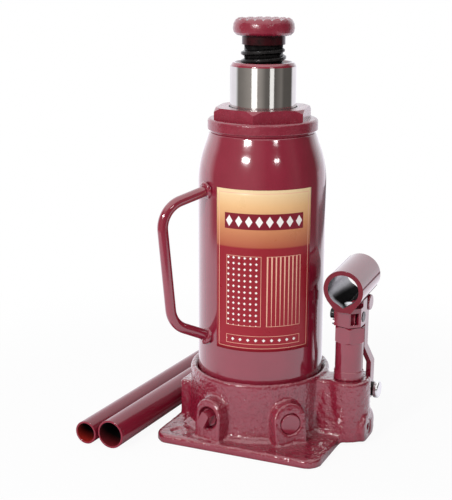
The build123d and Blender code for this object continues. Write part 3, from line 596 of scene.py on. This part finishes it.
# %% Weld beads
CARRY_ANGLE = math.radians(-125.0)
BEAD_STEPS = 44
BEAD_R = 2.1 * MM
BEAD_OFF_ROD = 4.9 * MM
BEAD_OFF_TANK = 0.5 * MM
ROD_END_REACH = 0.0494
ROD_ENDS = ((0.1967, math.radians(14.7)), (0.0823, math.radians(-24.4)))
RIPPLE_SIZE = 2.2 * MM
RIPPLE_DEPTH = 0.55 * MM
shape = bmesh.new()
outward = Vector((math.cos(CARRY_ANGLE), math.sin(CARRY_ANGLE), 0))
for height, slope in ROD_ENDS:
    centre = outward * ROD_END_REACH + Vector((0, 0, height))
    leaning = (outward * math.cos(slope) - Vector((0, 0, math.sin(slope)))).normalized()
    across = leaning.cross(Vector((0, 0, 1))).normalized()
    upward = across.cross(leaning)
    bead = bmesh.ops.create_circle(shape, cap_ends=False, segments=10, radius=BEAD_R)["verts"]
    seat = Matrix((leaning, upward, across)).transposed().to_4x4()
    start_point = centre + upward * BEAD_OFF_ROD + leaning * BEAD_OFF_TANK
    bmesh.ops.transform(shape, matrix=Matrix.Translation(start_point) @ seat, verts=bead)
    loop = list({edge for vert in bead for edge in vert.link_edges})
    bmesh.ops.spin(shape, geom=bead + loop, cent=centre, axis=leaning, angle=2 * math.pi,
                   steps=BEAD_STEPS, use_merge=True)
bmesh.ops.remove_doubles(shape, verts=shape.verts, dist=MERGE_WITHIN)
bmesh.ops.recalc_face_normals(shape, faces=shape.faces)
shape.normal_update()
for vert in shape.verts:
    vert.co += vert.normal * RIPPLE_DEPTH * noise.noise(vert.co / RIPPLE_SIZE)
settle(shape, "carry_handle_weld_beads", "carry_handle_welds", [enamel])

# %% [markdown]
# ## The film on the tank
# The film is a grid bent round the tank by its own width. Its flat coordinates become the UV
# map that the print is drawn on.

# %% The film on the tank
TANK_R = 49.2 * MM
FILM_THICK = 0.22 * MM
FILM_MIDDLE_ANGLE = math.radians(-65.7)
FILM_MIDDLE_Z = 139.0 * MM
shape = bmesh.new()
bmesh.ops.create_grid(shape, x_segments=64, y_segments=24, size=0.5)
sheet = shape.loops.layers.uv.new("sheet")
for face in shape.faces:
    for loop in face.loops:
        loop[sheet].uv = (loop.vert.co.x + 0.5, loop.vert.co.y + 0.5)
for vert in shape.verts:
    angle = FILM_MIDDLE_ANGLE + vert.co.x * LABEL_WIDE * MM / TANK_R
    reach = TANK_R + FILM_THICK
    up = vert.co.y * LABEL_TALL * MM
    vert.co = (reach * math.cos(angle), reach * math.sin(angle), FILM_MIDDLE_Z + up)
bmesh.ops.recalc_face_normals(shape, faces=shape.faces)
film_outward = Vector((math.cos(FILM_MIDDLE_ANGLE), math.sin(FILM_MIDDLE_ANGLE), 0))
if shape.faces[0].normal.dot(film_outward) < 0:
    bmesh.ops.reverse_faces(shape, faces=shape.faces)
film = settle(shape, "tank_label_film", "tank_label", [print_film])
backing = film.modifiers.new("film_thickness", "SOLIDIFY")
backing.thickness = FILM_THICK * 0.9
backing.offset = -1.0

# %% [markdown]
# ## Floor, room and lamps
# The jack stands on a white table in a white room, and the room is dim behind the camera. The
# table shows plain white to the camera and keeps the soft shadow near the jack. In the pictures
# that shiny pieces make, it carries a painted shadow near the jack, from ambient occlusion, and it is
# dim past 0.4 m in front and in a stretch past 0.6 m on the right, and further off in front it ends,
# so they see the dim room there.

# %% Floor
TABLE_HALF = 6.0
CAMERA_ANGLE = math.atan2(CAMERA_PLACE.y, CAMERA_PLACE.x)
shape = bmesh.new()
bmesh.ops.create_grid(shape, x_segments=2, y_segments=2, size=TABLE_HALF)
floor_mesh = bpy.data.meshes.new("floor")
shape.to_mesh(floor_mesh)
shape.free()
floor = bpy.data.objects.new("floor", floor_mesh)
bpy.context.scene.collection.objects.link(floor)
floor_paint = bpy.data.materials.new("floor_paint")
floor_paint.use_nodes = True
tree = floor_paint.node_tree
tree.nodes.clear()
light_path = add_node(tree, "ShaderNodeLightPath")
place = object_place(tree)
far_off = add_node(tree, "ShaderNodeVectorMath", {0: place}, operation="LENGTH").outputs["Value"]
DIM_DEPTH = 0.82
RIGHT_SIDE = 115


def reach_along(where, beside_camera):
    angle = CAMERA_ANGLE + math.radians(beside_camera)
    line = (math.cos(angle), math.sin(angle), 0)
    dot = add_node(tree, "ShaderNodeVectorMath", {0: where, 1: line}, operation="DOT_PRODUCT")
    return dot.outputs["Value"]


def fading(value, start, end, low, high):
    return add_node(tree, "ShaderNodeMapRange", {
        "Value": value, "From Min": start, "From Max": end, "To Min": low, "To Max": high},
        interpolation_type="SMOOTHSTEP").outputs["Result"]


matt = add_node(tree, "ShaderNodeBsdfDiffuse", {"Color": (0.9, 0.9, 0.9, 1)})
# Painted shadow: for reflections the table's glow is darkened near the jack by ambient occlusion.
glow_with_painted_shadow = add_node(tree, "ShaderNodeAmbientOcclusion", {"Distance": 0.07}, samples=6).outputs["AO"]
glow_with_painted_shadow = math_node(tree, "MULTIPLY", math_node(tree, "POWER", glow_with_painted_shadow, 2.0), 1.15)
dim_front = fading(reach_along(place, 0), 0.34, 0.46, 0.0, 1.0)
reach = reach_along(place, RIGHT_SIDE)
dim_right = math_node(tree, "MULTIPLY", fading(reach, 0.56, 0.66, 0.0, 1.0),
                      fading(reach, 0.86, 0.95, 1.0, 0.0))
dim = math_node(tree, "MAXIMUM", dim_front, dim_right)
glow_with_painted_shadow = math_node(tree, "MULTIPLY", glow_with_painted_shadow, math_node(tree, "MULTIPLY_ADD", dim, -DIM_DEPTH, 1.0))
plain = light_path.outputs["Is Camera Ray"]
tint = add_node(tree, "ShaderNodeMix", {"Factor": plain}, data_type="RGBA")
tint.inputs["A"].default_value = (1.0, 0.965, 1.05, 1)
tint.inputs["B"].default_value = (1, 1, 1, 1)
shade = add_node(tree, "ShaderNodeMix", {"Factor": plain, "A": glow_with_painted_shadow, "B": 1.0}).outputs["Result"]
glow = add_node(tree, "ShaderNodeEmission", {"Color": tint.outputs["Result"], "Strength": shade})
gap = add_node(tree, "ShaderNodeBsdfTransparent")
seen = math_node(tree, "MAXIMUM", light_path.outputs["Is Camera Ray"], light_path.outputs["Is Glossy Ray"])
seen = math_node(tree, "MAXIMUM", seen, light_path.outputs["Is Transmission Ray"])
white_share = math_node(tree, "MULTIPLY", seen, fading(far_off, 0.2, 0.45, 0.93, 1.0))
table = add_node(tree, "ShaderNodeMixShader", {0: white_share, 1: matt.outputs[0], 2: glow.outputs[0]})
in_front = fading(reach_along(vector_node(tree, "NORMALIZE", place), 5), -0.5, -0.3, 0.0, 1.0)
past_edge = math_node(tree, "MULTIPLY", fading(far_off, 0.6, 0.76, 0.0, 1.0), in_front)
past_edge = math_node(tree, "MULTIPLY", past_edge, light_path.outputs["Is Glossy Ray"])
top = add_node(tree, "ShaderNodeMixShader", {0: past_edge, 1: table.outputs[0], 2: gap.outputs[0]})
add_node(tree, "ShaderNodeOutputMaterial", {"Surface": top.outputs[0]})
floor_mesh.materials.append(floor_paint)
print("floor ready")

# %% [markdown]
# The room is a strip of grey levels round the jack, measured from the camera's direction: white
# behind the jack, dim in front, darker on the right. White parts are a little cool and dim parts
# a little warm. Matt surfaces see a softer strip, and the camera sees white.

# %% Room
ROOM_BRIGHTEST = 1.6
CEILING = 1.0
BACK_LEVEL = 1.25
ROOM_LEVELS = [(-112, 1.25), (-96, 0.22), (-75, 0.27), (-46, 0.4), (-15, 0.42), (-4, 0.32), (9, 0.16),
               (41, 0.13), (65, 0.24), (76, 0.12), (113, 0.11), (124, 0.8), (135, 1.25)]
SOFT_LEVELS = [(-60, 0.9), (0, 0.78), (45, 0.34), (120, 0.06), (165, 0.55)]
SOFT_BACK_LEVEL = 0.8
world = bpy.data.worlds.new("studio")
bpy.context.scene.world = world
world.use_nodes = True
tree = world.node_tree
tree.nodes.clear()
heading = add_node(tree, "ShaderNodeTexCoord").outputs["Generated"]
turned = add_node(tree, "ShaderNodeMapping", {"Vector": heading, "Rotation": (0, 0, -CAMERA_ANGLE)})
around = add_node(tree, "ShaderNodeTexGradient", {"Vector": turned.outputs[0]}, gradient_type="RADIAL")
room = add_node(tree, "ShaderNodeValToRGB", {"Fac": around.outputs["Fac"]})
soft_light = add_node(tree, "ShaderNodeValToRGB", {"Fac": around.outputs["Fac"]})


def grey(level, brightest):
    warm = 0.06 if level < 0.5 else -0.025
    share = level / brightest
    return (share * (1 + warm), share * (1 - abs(warm) * 0.5), share * (1 - warm * 1.5), 1)


def fill_strip(strip, levels, brightest, ends):
    for angle, level in levels:
        strip.color_ramp.elements.new((angle + 180) / 360).color = grey(level, brightest)
    for end in (strip.color_ramp.elements[0], strip.color_ramp.elements[-1]):
        end.color = grey(ends, brightest)


fill_strip(room, ROOM_LEVELS, ROOM_BRIGHTEST, BACK_LEVEL)
fill_strip(soft_light, SOFT_LEVELS, 1.0, SOFT_BACK_LEVEL)
rise = add_node(tree, "ShaderNodeSeparateXYZ", {"Vector": heading}).outputs["Z"]
overhead = add_node(tree, "ShaderNodeMapRange", {"Value": rise, "From Min": 0.55, "From Max": 0.75})
seen_room = add_node(tree, "ShaderNodeMix", {"Factor": overhead.outputs["Result"]}, data_type="RGBA")
tree.links.new(room.outputs["Color"], seen_room.inputs["A"])
seen_room.inputs["B"].default_value = (CEILING, CEILING, CEILING, 1)
light_path = add_node(tree, "ShaderNodeLightPath")
ambient = add_node(tree, "ShaderNodeBackground", {"Color": soft_light.outputs["Color"], "Strength": 1.0})
mirror = add_node(tree, "ShaderNodeBackground", {
    "Color": seen_room.outputs["Result"], "Strength": ROOM_BRIGHTEST})
white = add_node(tree, "ShaderNodeBackground", {"Color": (1, 1, 1, 1), "Strength": 1.0})
shiny = math_node(tree, "MAXIMUM", light_path.outputs["Is Glossy Ray"],
                  light_path.outputs["Is Transmission Ray"])
mixed = add_node(tree, "ShaderNodeMixShader", {0: shiny, 1: ambient.outputs[0], 2: mirror.outputs[0]})
mixed = add_node(tree, "ShaderNodeMixShader", {
    0: light_path.outputs["Is Camera Ray"], 1: mixed.outputs[0], 2: white.outputs[0]})
add_node(tree, "ShaderNodeOutputWorld", {"Surface": mixed.outputs[0]})
print("room levels:", len(ROOM_LEVELS))

# %% [markdown]
# Two soft lamps stand left and right of the camera, and they show as small spots on the tank's
# shoulder. Fine grinding lines stretch the same lamps into upright stripes on the ram. The stripes
# come from two tall panels that light nothing but the ram.

# %% Lamps
LAMP_TARGET = Vector((0, 0, 0.18))


def lamp(name, beside_camera, rise, distance, size, radiance):
    angle = CAMERA_ANGLE + math.radians(beside_camera)
    tilt = math.radians(rise)
    away = Vector((math.cos(angle) * math.cos(tilt), math.sin(angle) * math.cos(tilt), math.sin(tilt)))
    data = bpy.data.lights.new(name, "AREA")
    data.shape = "RECTANGLE"
    data.size, data.size_y = size
    data.energy = radiance * math.pi * size[0] * size[1]
    made = bpy.data.objects.new(name, data)
    facing = away.to_track_quat("Z", "Y").to_matrix().to_4x4()
    made.matrix_world = Matrix.Translation(LAMP_TARGET + away * distance) @ facing
    made.visible_camera = False
    bpy.context.scene.collection.objects.link(made)
    return made


lamp("lamp_left", -32.0, 23.0, 2.0, (0.38, 0.1), 150.0)
lamp("lamp_right", 28.0, 23.0, 2.0, (0.28, 0.1), 24.0)
ram_only = bpy.data.collections.new("ram_only")
ram_only.objects.link(ram_piece)
PANEL_TALL = 2.2
for name, beside_camera, wide, radiance in (("panel_left", -30.5, 0.7, 1.4),
                                            ("panel_right", 30.0, 0.5, 1.15)):
    panel = lamp(name, beside_camera, -8.0, 2.0, (wide, PANEL_TALL), radiance)
    panel.light_linking.receiver_collection = ram_only
print("lamps ready")
